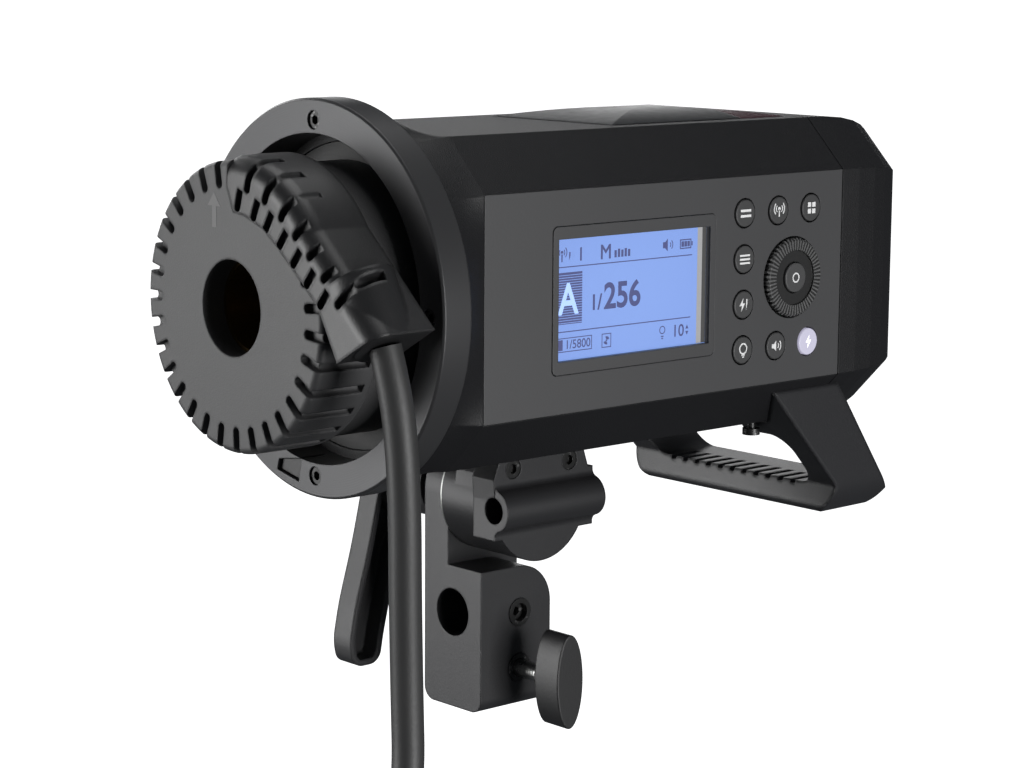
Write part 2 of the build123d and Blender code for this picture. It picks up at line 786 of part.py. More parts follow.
def fan_frame():
    x, front, z = fan_place()
    half = fan_size / 2
    body = block((x - half, x + half), (behind(front), behind(front + 12)), (z - half, z + half))
    body -= rod_y(half - 1.6, behind(front - 1), behind(front + 9.5), x, z)
    rear = rod_y(half - 1.6, behind(front + 9), behind(front + 13), x, z)
    spokes = rod_y(8.5, behind(front + 9.5), behind(front + 12), x, z)
    for angle in (45, 135):
        bar = block((x - half, x + half), (behind(front + 9.5), behind(front + 12)), (z - 1, z + 1))
        spokes += bar.rotate(Axis((x, 0, z), (0, 1, 0)), angle)
    body -= rear - spokes
    return body - rod_y(1.5 + running_gap, behind(front + 8), behind(front + 13), x, z)


def fan_rotor():
    x, front, z = fan_place()
    body = rod_y(8.0, behind(front + 0.8), behind(front + 9.2), x, z)
    body += rod_y(1.5, behind(front + 9), behind(front + 11.5), x, z)
    blade = block((x - 0.6, x + 0.6), (behind(front + 1.5), behind(front + 8.5)), (z + 7, z + 17.6))
    blade = blade.rotate(Axis((x, behind(front + 5), z), (0, 0, 1)), 30)
    for step in range(7):
        body += blade.rotate(Axis((x, 0, z), (0, 1, 0)), 360 * step / 7)
    return body


def trigger_transformer():
    x, z = -20.0, head_axis_z + 20.0
    core = block((x - 12, x + 12), (behind(44), behind(54)), (z - 10, head_axis_z + 33.0))
    return core + rod_y(8.0, behind(36), behind(56), x, z)


# ---- Rear handle ----------------------------------------------------------------------
def rear_handle():
    axis_z = head_axis_z
    side = [(behind(154), axis_z - 35), (behind(158.7), axis_z - 40.2), (behind(192.5), axis_z - 77),
            (behind(190), axis_z - 87.5), (behind(216), axis_z - 86.8), (behind(220.6), axis_z - 81),
            (behind(196.3), axis_z - 45.8), (behind(190.5), axis_z - 38)]
    body = side_profile(side, -handle_half_width, handle_half_width)
    body = fillet(body.edges().filter_by(Axis.X).group_by(Axis.Z)[0], 3.0)
    low = axis_z - 88.5
    inner = handle_half_width - handle_leg
    frame = block((-handle_half_width, handle_half_width), (behind(140), behind(230)), (low, axis_z))
    frame = fillet(frame.edges().filter_by(Axis.Y).group_by(Axis.Z)[0], 13.0)
    gap_top = axis_z - casing_half_height - 6.0
    gap = block((-inner, inner), (behind(130), behind(240)), (low + handle_grip_depth, gap_top))
    gap = fillet(gap.edges().filter_by(Axis.Y), 7.0)
    body = (body & frame) - gap
    body -= block((-22, 22), (behind(130), behind(240)), (gap_top - 7, axis_z))
    body -= casing_prism(0, 100, 240)
    for step in range(11):
        x = -30 + 6 * step
        body -= block((x - 1.2, x + 1.2), (behind(188), behind(205)),
                      (low + handle_grip_depth - 1.2, low + handle_grip_depth + 3))
    for x, y in handle_screw_places():
        body -= rod_z(3.3, gap_top - 5, gap_top + 2.5, x, y)
        body -= rod_z(1.6, gap_top, axis_z, x, y)
    return body


def handle_screw_places():
    return [(x, behind(distance)) for x in (-30.0, 30.0) for distance in (170.0, 184.0)]


def handle_screws():
    made = []
    for x, y in handle_screw_places():
        seat = (x, y, head_axis_z - casing_half_height - 6.0 + 0.2)
        made.append(hex_socket_screw(3.1, 2.3, (0, 0, 1), seat, 1.5, 3.3))
    return Compound(children=made)


# ---- Extension-lead plug --------------------------------------------------------------
def on_plug(x, z, distance=plug_front):
    """A point in front of the lamp opening, from its place across the lamp axis."""
    return Vector(x, behind(distance), head_axis_z + z)


def boot_prism():
    """The room that the strain relief takes: a band round the drum's upper right edge."""
    angle = math.radians(63)
    bend = on_plug(boot_radius * math.cos(angle), boot_radius * math.sin(angle))
    seam = [on_plug(x, z) for x, z in boot_seam]
    rim = [on_plug(x, z) for x, z in boot_rim]
    lines = Polyline(rim[2], *seam, *rim[:2]).edges()
    outline = make_face([*lines, ThreePointArc(rim[1], bend, rim[2])])
    return extrude(outline, boot_rear - plug_front, dir=(0, 1, 0))


def boot_block():
    """The strain relief before its slots are cut, with its outer edge rounded."""
    body = boot_prism()
    nearby = boot_radius - 2.0
    outer = [edge for edge in body.faces().sort_by(Axis.Y)[0].edges()
             if (edge @ 0.5 - on_plug(0, 0)).length > nearby and (edge @ 0.5).Z > head_axis_z]
    return fillet(outer, boot_rounding)


def boot_nose():
    """The round end that the lead comes out of."""
    x, u, z = cord_route[0]
    tip = on_plug(x, z, u)
    ahead = Vector(0.55, 0, -0.83)
    return Solid.make_cone(11.0, 9.6, 22.0, Plane(origin=tip - ahead * 22.0, z_dir=ahead))


def slot_cutter(start, direction, length, front, rear):
    """A slot with a round inner end, cut into the plug between two depths."""
    x_dir = Vector(direction[0], 0, direction[1]).normalized()
    plane = Plane(origin=on_plug(*start, rear), x_dir=x_dir, z_dir=(0, -1, 0))
    shape = Pos(length / 2, 0) * Rectangle(length, notch_width) + Circle(notch_width / 2)
    return extrude(plane * shape, rear - front)


def plug_body():
    rear = plug_front + plug_drum_length
    drum = rod_y(plug_drum_radius, behind(plug_front), behind(rear), 0, head_axis_z)
    drum = fillet(drum.edges().filter_by(GeomType.CIRCLE), 2.2)
    face_slot = slot_cutter((0, plug_drum_radius - notch_reach), (0, 1), 10, plug_front - 1, plug_front + 2.4)
    side_slot = slot_cutter((0, plug_drum_radius - 1.0), (0, 1), 6, plug_front - 1, rear - 4.0)
    for cut in around_lamp_axis(face_slot + side_slot, plug_notches, 3.0):
        drum -= cut
    drum += rod_y(plug_neck_radius, behind(rear - 1), behind(18.0), 0, head_axis_z)
    drum -= rod_y(plug_hole_radius, behind(plug_front - 1), behind(-2), 0, head_axis_z)
    return drum - boot_prism() - boot_nose()


def plug_liner():
    start = plug_front + 8
    ring = rod_y(plug_hole_radius, behind(start), behind(-2), 0, head_axis_z)
    return ring - rod_y(plug_hole_radius - 1.2, behind(start - 1), behind(-3.5), 0, head_axis_z)


def plug_contacts():
    pin = rod_y(2.0, behind(18.0), behind(24.0), 0, head_axis_z + 24)
    return Compound(children=around_lamp_axis(pin, 6))


def strain_relief_boot():
    body = boot_block() + boot_nose()
    for start, direction in zip(inner_slots, slot_directions):
        body -= slot_cutter(start, direction, 5.5, plug_front - 1, plug_front + 2.2)
    for start, direction in zip(outer_slots, slot_directions):
        body -= slot_cutter(start, direction, 30, plug_front - 1, plug_front + 3.0)
    for start, direction in zip(outer_slots, slot_directions):
        reach = Vector(start[0], start[1]) + Vector(*direction) * 8.5
        body -= slot_cutter((reach.X, reach.Y), direction, 30, plug_front - 1, plug_front + 12.0)
    return body


def route_point(x, u, z):
    return Vector(x, behind(u), head_axis_z + z)


def cord_tube(route):
    spots = [route_point(*spot) for spot in route]
    radii = bend_radii(spots)
    path = FilletPolyline(*spots, radius=radii)
    print("cord arc radii", [round(radius, 1) for radius in radii])
    start = Plane(origin=spots[0], z_dir=spots[1] - spots[0])
    tube = sweep(start * Circle(cable_radius), path=path)
    print("cord tube length", round(path.length, 1), "volume ratio",
          round(tube.volume / (math.pi * cable_radius ** 2 * path.length), 4))
    return tube


def cable():
    return cord_tube(cord_route)


def cable_tail():
    return cord_tube(tail_route)


def cable_coil():
    x, u, z = coil_centre
    y = behind(u)
    height = head_axis_z + z
    ring = rod_x(coil_outer_radius, x - coil_half_width, x + coil_half_width, y, height)
    ring -= rod_x(coil_inner_radius, x - 30, x + 30, y, height)
    return fillet(ring.edges().filter_by(GeomType.CIRCLE), 4.5)


def cable_tie():
    """A strap round all the turns, on the coil's rear side."""
    x, u, z = coil_centre
    y = behind(u)
    height = head_axis_z + z
    outer = block((x - coil_half_width - 2, x + coil_half_width + 2),
                  (y + coil_inner_radius - 2.5, y + coil_outer_radius + 1.5), (height - 9, height + 9))
    inner = block((x - coil_half_width - 0.2, x + coil_half_width + 0.2),
                  (y + coil_inner_radius - 1.2, y + coil_outer_radius + 0.2), (height - 10, height + 10))
    return fillet(outer.edges().filter_by(Axis.Z), 4.0) - inner


def cable_connector():
    x, u, z = tail_route[-1]
    y = behind(u)
    top = head_axis_z + z
    gland = rod_z(8.0, top - 12, top, x, y)
    body = rod_z(10.5, top - connector_length, top - 12, x, y)
    ring = rod_z(13.0, top - connector_length - 4, top - 24, x, y)
    ring -= rod_z(10.5 + fit_gap, top - connector_length - 5, top, x, y)
    body -= rod_z(8.5, top - connector_length - 1, top - connector_length + 8, x, y)
    return Compound(children=[gland + body, ring])


# ---- Write one file per piece ---------------------------------------------------------
def pieces():
    made = {
        "stand_block": stand_block(), "threaded_inserts": threaded_inserts(),
        "socket_set_screw": socket_set_screw(), "clamp_pad": clamp_pad(), "clamp_screw": clamp_screw(),
        "clamp_knob": clamp_knob(), "tilt_axle": tilt_axle(), "friction_washer": friction_washer(),
        "tilt_bracket": tilt_bracket(), "umbrella_holder": umbrella_holder(),
        "bracket_screws": bracket_screws(), "lock_lever": lock_lever(), "lever_screw": lever_screw(),
        "main_shell": main_shell(), "rear_cap": rear_cap(), "battery_pack": battery_pack(),
        "battery_latch": battery_latch(), "battery_contacts": battery_contacts(),
        "flange_ring": flange_ring(), "mount_lock_pin": mount_lock_pin(), "flange_screws": flange_screws(),
        "lamp_socket": lamp_socket(), "socket_contacts": socket_contacts(),
        "control_panel": control_panel(), "display_bezel": display_bezel(),
        "display_window": display_window(), "lcd_module": lcd_module(), "keypad_mat": keypad_mat(),
        "control_board": control_board(), "dial_encoder": dial_encoder(), "dial_ring": dial_ring(),
        "set_button": set_button(), "receiver_dome": receiver_dome(), "receiver_window": receiver_window(),
        "capacitors": capacitors(), "capacitor_clamp": capacitor_clamp(), "main_board": main_board(),
        "heat_sink": heat_sink(), "fan_frame": fan_frame(), "fan_rotor": fan_rotor(),
        "trigger_transformer": trigger_transformer(), "rear_handle": rear_handle(),
        "handle_screws": handle_screws(), "plug_body": plug_body(), "plug_liner": plug_liner(),
        "plug_contacts": plug_contacts(), "strain_relief_boot": strain_relief_boot(), "cable": cable(),
        "cable_tail": cable_tail(), "cable_coil": cable_coil(), "cable_tie": cable_tie(),
        "cable_connector": cable_connector(),
    }
    for number, (distance, row) in enumerate(key_spots(), start=1):
        made[f"key_{number}"] = key(distance, row)
    return made


os.makedirs("parts", exist_ok=True)
for node, shape in pieces().items():
    export_step(shape, f"parts/{node}.step")
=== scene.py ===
import math

import bpy
from mathutils import Matrix, Vector


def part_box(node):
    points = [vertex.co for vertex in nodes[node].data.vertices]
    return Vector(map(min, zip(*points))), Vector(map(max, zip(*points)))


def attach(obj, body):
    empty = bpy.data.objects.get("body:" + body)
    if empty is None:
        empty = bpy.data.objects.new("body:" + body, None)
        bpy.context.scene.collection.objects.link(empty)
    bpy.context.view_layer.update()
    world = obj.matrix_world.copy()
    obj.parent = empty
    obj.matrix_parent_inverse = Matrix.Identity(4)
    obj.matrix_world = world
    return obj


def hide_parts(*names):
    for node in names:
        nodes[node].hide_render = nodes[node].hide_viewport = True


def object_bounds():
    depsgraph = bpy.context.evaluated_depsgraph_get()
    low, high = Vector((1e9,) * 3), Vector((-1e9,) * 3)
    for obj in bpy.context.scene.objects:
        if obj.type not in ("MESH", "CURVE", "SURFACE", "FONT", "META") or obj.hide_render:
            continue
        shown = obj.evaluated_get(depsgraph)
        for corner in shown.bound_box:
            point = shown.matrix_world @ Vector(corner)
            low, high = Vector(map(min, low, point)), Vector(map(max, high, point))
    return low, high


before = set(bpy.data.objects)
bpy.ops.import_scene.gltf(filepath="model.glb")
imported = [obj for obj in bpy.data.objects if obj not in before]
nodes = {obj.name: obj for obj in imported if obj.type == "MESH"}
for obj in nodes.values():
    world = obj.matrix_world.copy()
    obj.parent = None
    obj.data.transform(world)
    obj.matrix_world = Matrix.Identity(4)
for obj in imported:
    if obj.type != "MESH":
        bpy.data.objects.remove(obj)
cad_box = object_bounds()

# ---- Stand block ----------------------------------------------------------------------
# The block, the bracket and the umbrella holder are milled from aluminium bar, tumbled so
# that the edges are soft, bead-blasted and anodised black. The finish is a fine satin that
# is a little uneven where the dye took differently.


class Wire:
    """An output socket, so that shader maths reads as an expression."""

    def __init__(self, finish, socket):
        self.finish = finish
        self.socket = socket

    def maths(self, operation, *values):
        return self.finish.node("Math", {"operation": operation}, dict(enumerate(values)))

    def __add__(self, other):
        return self.maths("ADD", self, other)

    def __rsub__(self, other):
        return self.maths("SUBTRACT", other, self)

    def __mul__(self, other):
        return self.maths("MULTIPLY", self, other)

    def __gt__(self, other):
        return self.maths("GREATER_THAN", self, other)

    __radd__ = __add__
    __rmul__ = __mul__


class Finish:
    """A material. Constants go on its sockets, and node() adds any shader node by name."""

    def __init__(self, name, **constants):
        self.material = bpy.data.materials.new(name)
        self.material.use_nodes = True
        self.tree = self.material.node_tree
        self.shader = self.tree.nodes["Principled BSDF"]
        self.place = self.node("TexCoord", output="Object")
        for socket, value in constants.items():
            self.shader.inputs[socket.replace("_", " ")].default_value = value

    def node(self, kind, settings=None, inputs=None, output=0):
        made = self.tree.nodes.new("ShaderNode" + kind)
        for key, value in (settings or {}).items():
            if key == "stops":
                ramp = made.color_ramp.elements
                while len(ramp) < len(value):
                    ramp.new(1.0)
                for stop, (position, colour) in zip(ramp, value):
                    stop.position = position
                    stop.color = colour
            else:
                setattr(made, key, value)
        for key, value in (inputs or {}).items():
            self.feed(made.inputs[key], value)
        return Wire(self, made.outputs[output])

    def feed(self, socket, value):
        if isinstance(value, Wire):
            self.tree.links.new(value.socket, socket)
        else:
            socket.default_value = value

    def noise(self, scale, detail=2.0, stretch=(1, 1, 1)):
        place = self.node("Mapping", None, {"Vector": self.place, "Scale": stretch})
        return self.node("TexNoise", None, {"Vector": place, "Scale": scale, "Detail": detail})

    def blend(self, amount, first, second):
        return self.node("Mix", {"data_type": "RGBA"}, {0: amount, 6: first, 7: second}, 2)

    def colour(self, value):
        self.feed(self.shader.inputs["Base Color"], value)

    def rough(self, value):
        self.feed(self.shader.inputs["Roughness"], value)

    def relief(self, height, distance, edge=0.0):
        """Bump from a height, over edges that are rounded by a radius."""
        inputs = {"Height": height, "Distance": distance, "Strength": 0.8}
        if edge:
            inputs["Normal"] = self.node("Bevel", {"samples": 4}, {"Radius": edge})
        self.feed(self.shader.inputs["Normal"], self.node("Bump", None, inputs))

    def paint(self, *names):
        for name in names:
            for slot in nodes[name].material_slots:
                slot.material = self.material


def grey(level, blue=1.0):
    return (level, level, level * blue, 1)


def satin(name, low, high, rough, grain, depth, edge=0.0, parts=(), **constants):
    """A finish with a fine grain, and a slow drift of tone and gloss over the surface."""
    finish = Finish(name, **constants)
    fine = finish.noise(grain, 2.0)
    drift = finish.noise(16, 3.0)
    finish.colour(finish.blend(drift, low, high))
    finish.rough(rough + fine * 0.12 + drift * 0.08)
    finish.relief(fine, depth, edge)
    finish.paint(*parts)
    return finish


satin("block_anodised", grey(0.020, 1.06), grey(0.030, 1.06), 0.30, 1500, 0.00004, 0.0007,
      ["stand_block", "tilt_bracket", "umbrella_holder"], Metallic=0.25)

# ---- Clamp screw, washer and axle -----------------------------------------------------
# Turned mild steel, zinc plated. Fine rings from the lathe run round each piece.
zinc = Finish("zinc_plate", Metallic=1.0)
rings = zinc.node("TexWave", {"wave_type": "BANDS", "bands_direction": "X"},
                  {"Vector": zinc.place, "Scale": 260.0, "Distortion": 0.6, "Detail": 1.0})
cloud = zinc.noise(90, 3.0)
zinc.colour(zinc.blend(cloud, (0.42, 0.43, 0.42, 1), (0.66, 0.67, 0.64, 1)))
zinc.rough(0.2 + cloud * 0.2)
zinc.relief(rings, 0.00004, 0.0003)
zinc.paint("clamp_screw", "friction_washer", "tilt_axle")

# ---- Screws and inserts ---------------------------------------------------------------
# Hardened socket screws and pressed-in thread inserts, black oxide over steel and rubbed
# bright on the rims of their sockets.
oxide = Finish("black_oxide", Metallic=0.7)
rubbed = oxide.noise(500, 4.0)
oxide.colour(oxide.blend(rubbed > 0.62, grey(0.03), grey(0.11)))
oxide.rough(0.26 + rubbed * 0.2)
oxide.relief(rubbed, 0.00003, 0.0003)
oxide.paint("bracket_screws", "lever_screw", "flange_screws", "handle_screws", "socket_set_screw",
            "threaded_inserts")

# ---- Clamp pad and contacts -----------------------------------------------------------
# Bare brass: the pad that bears on the stud, and the contact pins, a little tarnished.
brass = Finish("contact_brass", Metallic=1.0)
tarnish = brass.noise(160, 4.0)
brass.colour(brass.blend(tarnish, (0.42, 0.26, 0.09, 1), (0.75, 0.55, 0.24, 1)))
brass.rough(0.22 + tarnish * 0.25)
brass.relief(tarnish, 0.00002)
brass.paint("clamp_pad", "socket_contacts", "plug_contacts", "battery_contacts")

# ---- Clamp knob and lock lever --------------------------------------------------------
# Both are moulded in glass-filled nylon, black and slightly soft in its shine. The lever's
# back is cored out, which leaves a rim all round.
satin("knob_nylon", grey(0.010, 1.05), grey(0.015, 1.05), 0.36, 1300, 0.00005, 0.0006, ["clamp_knob"])
satin("lever_nylon", grey(0.026, 1.05), grey(0.036, 1.05), 0.36, 900, 0.00006, 0.0016, ["lock_lever"])

# ---- Casing ---------------------------------------------------------------------------
# The tube and the rear cap are injection-moulded black plastic with a spark-eroded texture,
# so light breaks up into tiny sparkles on it. The edges between faces are barely rounded.
casing = Finish("casing_black", Specular_IOR_Level=0.35)
grit = casing.noise(2300, 1.0)
patch = casing.noise(14, 3.0)
casing.colour(casing.blend(patch, grey(0.005, 1.15), grey(0.008, 1.15)))
casing.rough(0.40 + grit * 0.22)
casing.relief(grit, 0.00016, 0.0008)
casing.paint("main_shell", "rear_cap")

# ---- Battery, latch and handle --------------------------------------------------------
# Moulded like the casing but with a finer texture, worn smoother where hands touch them.
satin("battery_black", grey(0.012, 1.1), grey(0.02, 1.1), 0.42, 1900, 0.0001, 0.0006,
      ["battery_pack", "battery_latch"])
handle = Finish("handle_black")
skin = handle.noise(1400, 2.0)
touched = handle.noise(11, 3.0)
handle.colour(handle.blend(touched, grey(0.012, 1.1), grey(0.02, 1.1)))
handle.rough(0.46 - touched * 0.16 + skin * 0.1)
handle.relief(skin, 0.00008, 0.0022)
handle.paint("rear_handle")

# ---- Mount ring and lock pin ----------------------------------------------------------
# The ring is turned from aluminium and anodised, with turning lines round the lamp axis
# that draw the light out into soft fans. The pin is a black acetal slider.
ring_front = -0.0734
lamp_axis = 0.143
ring_finish = Finish("ring_anodised", Metallic=0.4)
centred = ring_finish.node("Mapping", None, {"Vector": ring_finish.place, "Location": (0, 0, -lamp_axis)})
turned = ring_finish.node("TexWave", {"wave_type": "RINGS", "rings_direction": "Y"},
                          {"Vector": centred, "Scale": 420.0, "Distortion": 0.3, "Detail": 1.0})
dye = ring_finish.noise(12, 3.0)
ring_finish.colour(ring_finish.blend(dye, grey(0.038, 1.04), grey(0.054, 1.04)))
ring_finish.rough(0.32 + dye * 0.1)
ring_finish.relief(turned, 0.000012, 0.0005)
ring_finish.paint("flange_ring")
satin("slider_black", grey(0.012), grey(0.018), 0.4, 900, 0.00004, 0.0003, ["mount_lock_pin"])

# ---- Pieces inside --------------------------------------------------------------------
# The lamp socket, fan, boards, capacitors, heat sink and transformer, each in the finish
# that such a component has.
satin("inner_black", grey(0.008), grey(0.014), 0.5, 900, 0.00005, 0.0,
      ["lamp_socket", "dial_encoder", "capacitor_clamp", "keypad_mat", "fan_frame", "fan_rotor"])
board = Finish("board_green")
tracks = board.node("TexBrick", None, {"Vector": board.place, "Scale": 180.0, "Mortar Size": 0.02,
                                       "Color1": (0.010, 0.075, 0.03, 1), "Color2": (0.014, 0.10, 0.04, 1),
                                       "Mortar": (0.03, 0.2, 0.08, 1)})
board.colour(tracks)
board.rough(0.3 + board.noise(200) * 0.1)
board.paint("control_board", "main_board")
satin("can_sleeve", (0.01, 0.014, 0.05, 1), (0.018, 0.022, 0.07, 1), 0.2, 300, 0.00002, 0.0,
      ["capacitors"])
satin("sink_alloy", grey(0.5), grey(0.62), 0.26, 700, 0.00003, 0.0002, ["heat_sink"], Metallic=1.0)
winding = Finish("winding_copper", Metallic=1.0)
strands = winding.node("TexWave", {"bands_direction": "Y"}, {"Vector": winding.place, "Scale": 420.0})
winding.colour(winding.blend(strands, (0.25, 0.08, 0.03, 1), (0.62, 0.26, 0.1, 1)))
winding.rough(0.3 + strands * 0.1)
winding.relief(strands, 0.0002)
winding.paint("trigger_transformer")

# ---- Control panel --------------------------------------------------------------------
# A satin charcoal plate let into the casing's side, with the display's frame in the same
# paint. It is sprayed, which leaves a very fine orange peel.
panel = Finish("panel_grey")
peel = panel.noise(1100, 2.0)
shade = panel.noise(9, 2.0)
panel.colour(panel.blend(shade, grey(0.046, 1.04), grey(0.056, 1.03)))
panel.rough(0.38 + peel * 0.1)
panel.relief(peel, 0.00003, 0.0004)
panel.paint("control_panel", "display_bezel")

# ---- Keys and dial --------------------------------------------------------------------
# Silicone keys with white printed signs, one of them lit from behind, round a knurled
# dial with a push button in its middle. The signs are thin ink, so they follow each key.
satin("key_black", grey(0.035, 1.02), grey(0.045, 1.02), 0.42, 1300, 0.00003, 0.0004,
      [f"key_{number}" for number in range(1, 8)])
dial = Finish("dial_black")
hub = [sum(pair) / 2 for pair in zip(*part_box("dial_ring"))]
spread = dial.node("Mapping", None, {"Vector": dial.place, "Location": [-value for value in hub]})
part = dial.node("SeparateXYZ", None, {"Vector": spread}, "Y")
rise = dial.node("SeparateXYZ", None, {"Vector": spread}, "Z")
ridge = dial.node("Math", {"operation": "SINE"}, {0: dial.node("Math", {"operation": "ARCTAN2"},
                                                               {0: rise, 1: part}) * 56.0})
reach = dial.node("VectorMath", {"operation": "LENGTH"},
                  {0: dial.node("VectorMath", {"operation": "MULTIPLY"}, {0: spread, 1: (0, 1, 1)})}, "Value")
# The knurl's ridge tops are painted light grey and the grooves between them near black: painted highlight and
# painted shade. The same mask also bumps the ridges.
knurl_ridges_painted_light = (reach > 0.0094) * (ridge > 0.1)
dial.colour(dial.blend(knurl_ridges_painted_light, grey(0.014), grey(0.10)))
dial.rough(0.34 + dial.noise(1300) * 0.14)
dial.relief(knurl_ridges_painted_light, 0.0003, 0.0003)
dial.paint("dial_ring")
satin("set_grey", grey(0.045, 1.02), grey(0.055, 1.02), 0.4, 1300, 0.00003, 0.0004, ["set_button"])
lit_key = satin("key_lit", (0.24, 0.24, 0.28, 1), (0.30, 0.30, 0.34, 1), 0.32, 900, 0.00002, 0.0004,
                ["key_8"], Emission_Strength=0.8)
centre_glow = lit_key.noise(60, 1.0)
lit_key.feed(lit_key.shader.inputs["Emission Color"],
             lit_key.blend(centre_glow, (0.36, 0.34, 0.46, 1), (0.5, 0.48, 0.62, 1)))

ink = Finish("sign_ink", Roughness=0.5)
ink.colour(ink.blend(ink.noise(700, 2.0), grey(0.68), grey(0.78)))
glow_ink = Finish("sign_glow", Roughness=0.5, Emission_Strength=0.8, Emission_Color=(1, 1, 1, 1))
glow_ink.colour(glow_ink.blend(glow_ink.noise(700, 2.0), grey(0.85), grey(0.95)))


def flat_shape(name, outlines, depth, finish, body, across, up, out):
    """Thin shapes on a plane. Outlines are in millimetres, and one inside another is a hole.

    across and up are the plane's axes, and out is the point where it starts."""
    flat = bpy.data.curves.new(name, "CURVE")
    flat.dimensions = "2D"
    flat.fill_mode = "BOTH"
    flat.extrude = depth / 2
    for outline in outlines:
        loop = flat.splines.new("POLY")
        loop.points.add(len(outline) - 1)
        for point, (x, y) in zip(loop.points, outline):
            point.co = (x / 1000, y / 1000, 0, 1)
        loop.use_cyclic_u = True
    return set_flat(bpy.data.objects.new(name, flat), finish, body, across, up, out)


def set_flat(piece, finish, body, across, up, out, thickness=1.0):
    """Turns a flat curve or text into a mesh, thins it, and lays it on its plane."""
    bpy.context.scene.collection.objects.link(piece)
    bpy.ops.object.select_all(action="DESELECT")
    piece.select_set(True)
    bpy.context.view_layer.objects.active = piece
    bpy.ops.object.convert(target="MESH")
    piece = bpy.context.object
    across, up, out = Vector(across), Vector(up), Vector(out)
    turn = Matrix((across, up, across.cross(up))).transposed().to_4x4()
    piece.data.transform(Matrix.Translation(out) @ turn @ Matrix.Diagonal((1, 1, thickness, 1)))
    piece.data.materials.clear()
    piece.data.materials.append(finish.material)
    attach(piece, body)
    return piece


def rectangle(left, low, right, high):
    return [(left, low), (right, low), (right, high), (left, high)]


def arc_band(radius, width, start, end, centre=(0.0, 0.0)):
    """Part of a ring, between two angles in degrees."""
    steps = max(int(abs(end - start) / 15), 2)
    angles = [math.radians(start + (end - start) * step / steps) for step in range(steps + 1)]
    outer = [(centre[0] + (radius + width / 2) * math.cos(a), centre[1] + (radius + width / 2) * math.sin(a))
             for a in angles]
    inner = [(centre[0] + (radius - width / 2) * math.cos(a), centre[1] + (radius - width / 2) * math.sin(a))
             for a in reversed(angles)]
    return outer + inner


def ring_shape(radius, width, centre=(0.0, 0.0)):
    turns = [math.radians(20 * step) for step in range(18)]
    return [[(centre[0] + r * math.cos(a), centre[1] + r * math.sin(a)) for a in turns]
            for r in (radius + width / 2, radius - width / 2)]


three_bars = [rectangle(-2.4, y - 0.32, 2.4, y + 0.32) for y in (-1.3, 0.0, 1.3)]
two_bars = [rectangle(-2.5, y - 0.42, 2.5, y + 0.42) for y in (-0.9, 0.9)]
aerial = [rectangle(-0.28, -2.1, 0.28, 0.4), *ring_shape(0.35, 0.6, (0, 0.6))[:1],
          arc_band(1.5, 0.42, -45, 45, (0, 0.6)), arc_band(2.5, 0.42, -45, 45, (0, 0.6)),
          arc_band(1.5, 0.42, 135, 225, (0, 0.6)), arc_band(2.5, 0.42, 135, 225, (0, 0.6))]
grid_sign = [rectangle(x - 0.8, y - 0.8, x + 0.8, y + 0.8) for x in (-1.1, 1.1) for y in (-1.1, 1.1)]
bolt = [(0.5, 2.3), (-1.3, -0.3), (-0.15, -0.3), (-0.5, -2.3), (1.3, 0.5), (0.15, 0.5)]
bolt_and_bar = [[(x - 0.9, y) for x, y in bolt], rectangle(1.0, -1.9, 1.55, 1.9),
                rectangle(2.1, -1.9, 2.65, 1.9), rectangle(1.55, -0.25, 2.1, 0.25)]
bulb = [*ring_shape(1.7, 0.5, (0, 0.5)), rectangle(-0.75, -1.85, 0.75, -1.45),
        rectangle(-0.55, -2.5, 0.55, -2.1)]
speaker = [[(-2.2, -0.7), (-1.3, -0.7), (-0.1, -1.8), (-0.1, 1.8), (-1.3, 0.7), (-2.2, 0.7)],
           arc_band(1.1, 0.42, -45, 45), arc_band(2.2, 0.42, -45, 45)]
set_sign = ring_shape(1.5, 0.5)
signs = {"key_1": two_bars, "key_2": aerial, "key_3": grid_sign, "key_4": three_bars,
         "key_5": bolt_and_bar, "key_6": bulb, "key_7": speaker, "key_8": [bolt],
         "set_button": set_sign}
ink_thickness = 0.00006
ink_lift = 0.00002
for node, outlines in signs.items():
    low, high = (Vector(corner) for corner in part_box(node))
    middle = (low + high) / 2
    slot = "key_lit" if node == "key_8" else "key_black"
    body = "set_key" if node == "set_button" else node + "_cap"
    flat_shape("sign_" + node, outlines, ink_thickness, glow_ink if node == "key_8" else ink, body,
               (0, 1, 0), (0, 0, 1), (high.x + ink_lift, middle.y, middle.z))

# ---- Display --------------------------------------------------------------------------
# A backlit dot-matrix screen: dark figures stand on a periwinkle ground that is a little
# brighter in the middle, behind a clear acrylic window.
window = Finish("window_clear", Alpha=0.03, Specular_IOR_Level=0.1)
window.rough(0.05 + window.noise(40) * 0.04)
window.colour(window.blend(window.noise(8), grey(0.8), grey(0.9)))
window.paint("display_window")

screen_middle = (0.0, ring_front + 0.0885, lamp_axis + 0.0005)
lcd = Finish("lcd_ground", Emission_Strength=0.82)
near = lcd.node("Mapping", None, {"Vector": lcd.place, "Location": [-value for value in screen_middle]})
reach = lcd.node("VectorMath", {"operation": "LENGTH"},
                 {0: lcd.node("VectorMath", {"operation": "MULTIPLY"}, {0: near, 1: (0, 24.0, 34.0)})},
                 "Value")
edge_shade = reach * reach * 0.35
backlight = lcd.blend(edge_shade, (0.215, 0.385, 0.85, 1), (0.14, 0.27, 0.70, 1))
lcd.feed(lcd.shader.inputs["Emission Color"], backlight)
lcd.colour(lcd.blend(lcd.noise(500), (0.03, 0.04, 0.14, 1), (0.035, 0.05, 0.16, 1)))
lcd.rough(0.5 + lcd.noise(300) * 0.1)
lcd.paint("lcd_module")

